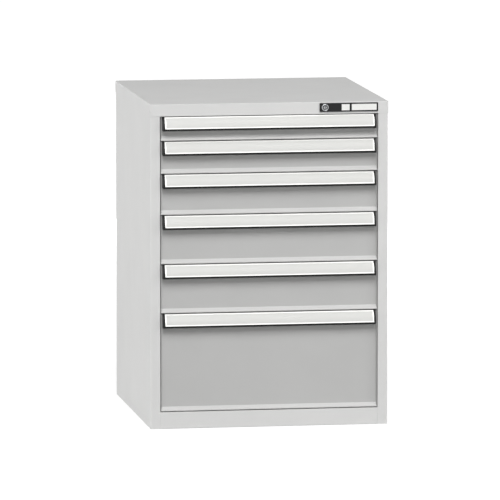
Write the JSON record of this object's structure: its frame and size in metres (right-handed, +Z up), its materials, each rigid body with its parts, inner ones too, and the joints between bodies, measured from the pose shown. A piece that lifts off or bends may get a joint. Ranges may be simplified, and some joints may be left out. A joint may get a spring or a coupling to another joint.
{
  "type": "drawer cabinet",
  "caption": "Waist-high steel workshop cabinet with full-width drawers on telescopic runners, inclined handles with label strips and a central lock in the fascia.",
  "frame": {"origin": "middle of the bottom of the object's box, on the floor", "axes": "+X to the right seen from the front, -Y out of the front (drawers open that way), +Z up"},
  "size_m": [0.731, 0.7688, 0.99],
  "materials": {
    "housing_paint": "fine textured powder coat",
    "drawer_paint": "fine textured powder coat",
    "handle_aluminium": "satin anodised",
    "black_plastic": "fine mould grain",
    "paper": "matt paper label",
    "zinc_steel": "zinc plated",
    "bright_metal": "polished plating"
  },
  "bodies": {
    "cabinet": {"left_side_panel": "housing_paint", "right_side_panel": "housing_paint", "back_panel": "housing_paint", "top_cover": "housing_paint", "base_tray": "housing_paint", "runner_uprights": "zinc_steel", "cabinet_runners": "zinc_steel", "lock_strip": "black_plastic", "lock_labels": "paper", "lock_shell": "bright_metal", "lock_bar_guides": "zinc_steel"},
    "drawer_1": {"drawer_1_tray": "drawer_paint", "drawer_1_front": "drawer_paint", "drawer_1_handle": "handle_aluminium", "drawer_1_grip_frame": "black_plastic", "drawer_1_label": "paper", "drawer_1_runners": "zinc_steel"},
    "middle_runners_1": {"drawer_1_middle_runners": "zinc_steel"},
    "drawer_2": {"drawer_2_tray": "drawer_paint", "drawer_2_front": "drawer_paint", "drawer_2_handle": "handle_aluminium", "drawer_2_grip_frame": "black_plastic", "drawer_2_label": "paper", "drawer_2_runners": "zinc_steel"},
    "middle_runners_2": {"drawer_2_middle_runners": "zinc_steel"},
    "drawer_3": {"drawer_3_tray": "drawer_paint", "drawer_3_front": "drawer_paint", "drawer_3_handle": "handle_aluminium", "drawer_3_grip_frame": "black_plastic", "drawer_3_label": "paper", "drawer_3_runners": "zinc_steel"},
    "middle_runners_3": {"drawer_3_middle_runners": "zinc_steel"},
    "drawer_4": {"drawer_4_tray": "drawer_paint", "drawer_4_front": "drawer_paint", "drawer_4_handle": "handle_aluminium", "drawer_4_grip_frame": "black_plastic", "drawer_4_label": "paper", "drawer_4_runners": "zinc_steel"},
    "middle_runners_4": {"drawer_4_middle_runners": "zinc_steel"},
    "drawer_5": {"drawer_5_tray": "drawer_paint", "drawer_5_front": "drawer_paint", "drawer_5_handle": "handle_aluminium", "drawer_5_grip_frame": "black_plastic", "drawer_5_label": "paper", "drawer_5_runners": "zinc_steel"},
    "middle_runners_5": {"drawer_5_middle_runners": "zinc_steel"},
    "drawer_6": {"drawer_6_tray": "drawer_paint", "drawer_6_front": "drawer_paint", "drawer_6_handle": "handle_aluminium", "drawer_6_grip_frame": "black_plastic", "drawer_6_label": "paper", "drawer_6_runners": "zinc_steel"},
    "middle_runners_6": {"drawer_6_middle_runners": "zinc_steel"},
    "lock_core": {"lock_core": "bright_metal", "lock_cam": "zinc_steel"},
    "lock_bar": {"lock_bar": "zinc_steel"}
  },
  "joints": [
    {"name": "drawer_1_slide", "type": "slide", "parent": "cabinet", "child": "drawer_1", "axis": [0, -1, 0], "range_m": [0, 0.5996]},
    {"name": "drawer_2_slide", "type": "slide", "parent": "cabinet", "child": "drawer_2", "axis": [0, -1, 0], "range_m": [0, 0.5996]},
    {"name": "drawer_3_slide", "type": "slide", "parent": "cabinet", "child": "drawer_3", "axis": [0, -1, 0], "range_m": [0, 0.5996]},
    {"name": "drawer_4_slide", "type": "slide", "parent": "cabinet", "child": "drawer_4", "axis": [0, -1, 0], "range_m": [0, 0.5996]},
    {"name": "drawer_5_slide", "type": "slide", "parent": "cabinet", "child": "drawer_5", "axis": [0, -1, 0], "range_m": [0, 0.5996]},
    {"name": "drawer_6_slide", "type": "slide", "parent": "cabinet", "child": "drawer_6", "axis": [0, -1, 0], "range_m": [0, 0.5996]},
    {"name": "middle_runners_1_slide", "type": "slide", "parent": "cabinet", "child": "middle_runners_1", "axis": [0, -1, 0], "range_m": [0, 0.2998]},
    {"name": "middle_runners_2_slide", "type": "slide", "parent": "cabinet", "child": "middle_runners_2", "axis": [0, -1, 0], "range_m": [0, 0.2998]},
    {"name": "middle_runners_3_slide", "type": "slide", "parent": "cabinet", "child": "middle_runners_3", "axis": [0, -1, 0], "range_m": [0, 0.2998]},
    {"name": "middle_runners_4_slide", "type": "slide", "parent": "cabinet", "child": "middle_runners_4", "axis": [0, -1, 0], "range_m": [0, 0.2998]},
    {"name": "middle_runners_5_slide", "type": "slide", "parent": "cabinet", "child": "middle_runners_5", "axis": [0, -1, 0], "range_m": [0, 0.2998]},
    {"name": "middle_runners_6_slide", "type": "slide", "parent": "cabinet", "child": "middle_runners_6", "axis": [0, -1, 0], "range_m": [0, 0.2998]},
    {"name": "lock_turn", "type": "hinge", "parent": "cabinet", "child": "lock_core", "pos_m": [0.1704, -0.37315, 0.9727], "axis": [0, 1, 0], "range_deg": [0, 90]},
    {"name": "lock_bar_slide", "type": "slide", "parent": "cabinet", "child": "lock_bar", "axis": [0, 0, 1], "range_m": [0, 0.01202]}
  ],
  "couplings": [
    {"joint": "middle_runners_1_slide", "follows": "drawer_1_slide", "ratio": 0.5},
    {"joint": "middle_runners_2_slide", "follows": "drawer_2_slide", "ratio": 0.5},
    {"joint": "middle_runners_3_slide", "follows": "drawer_3_slide", "ratio": 0.5},
    {"joint": "middle_runners_4_slide", "follows": "drawer_4_slide", "ratio": 0.5},
    {"joint": "middle_runners_5_slide", "follows": "drawer_5_slide", "ratio": 0.5},
    {"joint": "middle_runners_6_slide", "follows": "drawer_6_slide", "ratio": 0.5},
    {"joint": "lock_turn", "follows": "lock_bar_slide", "rad_per_m": 130.67}
  ]
}
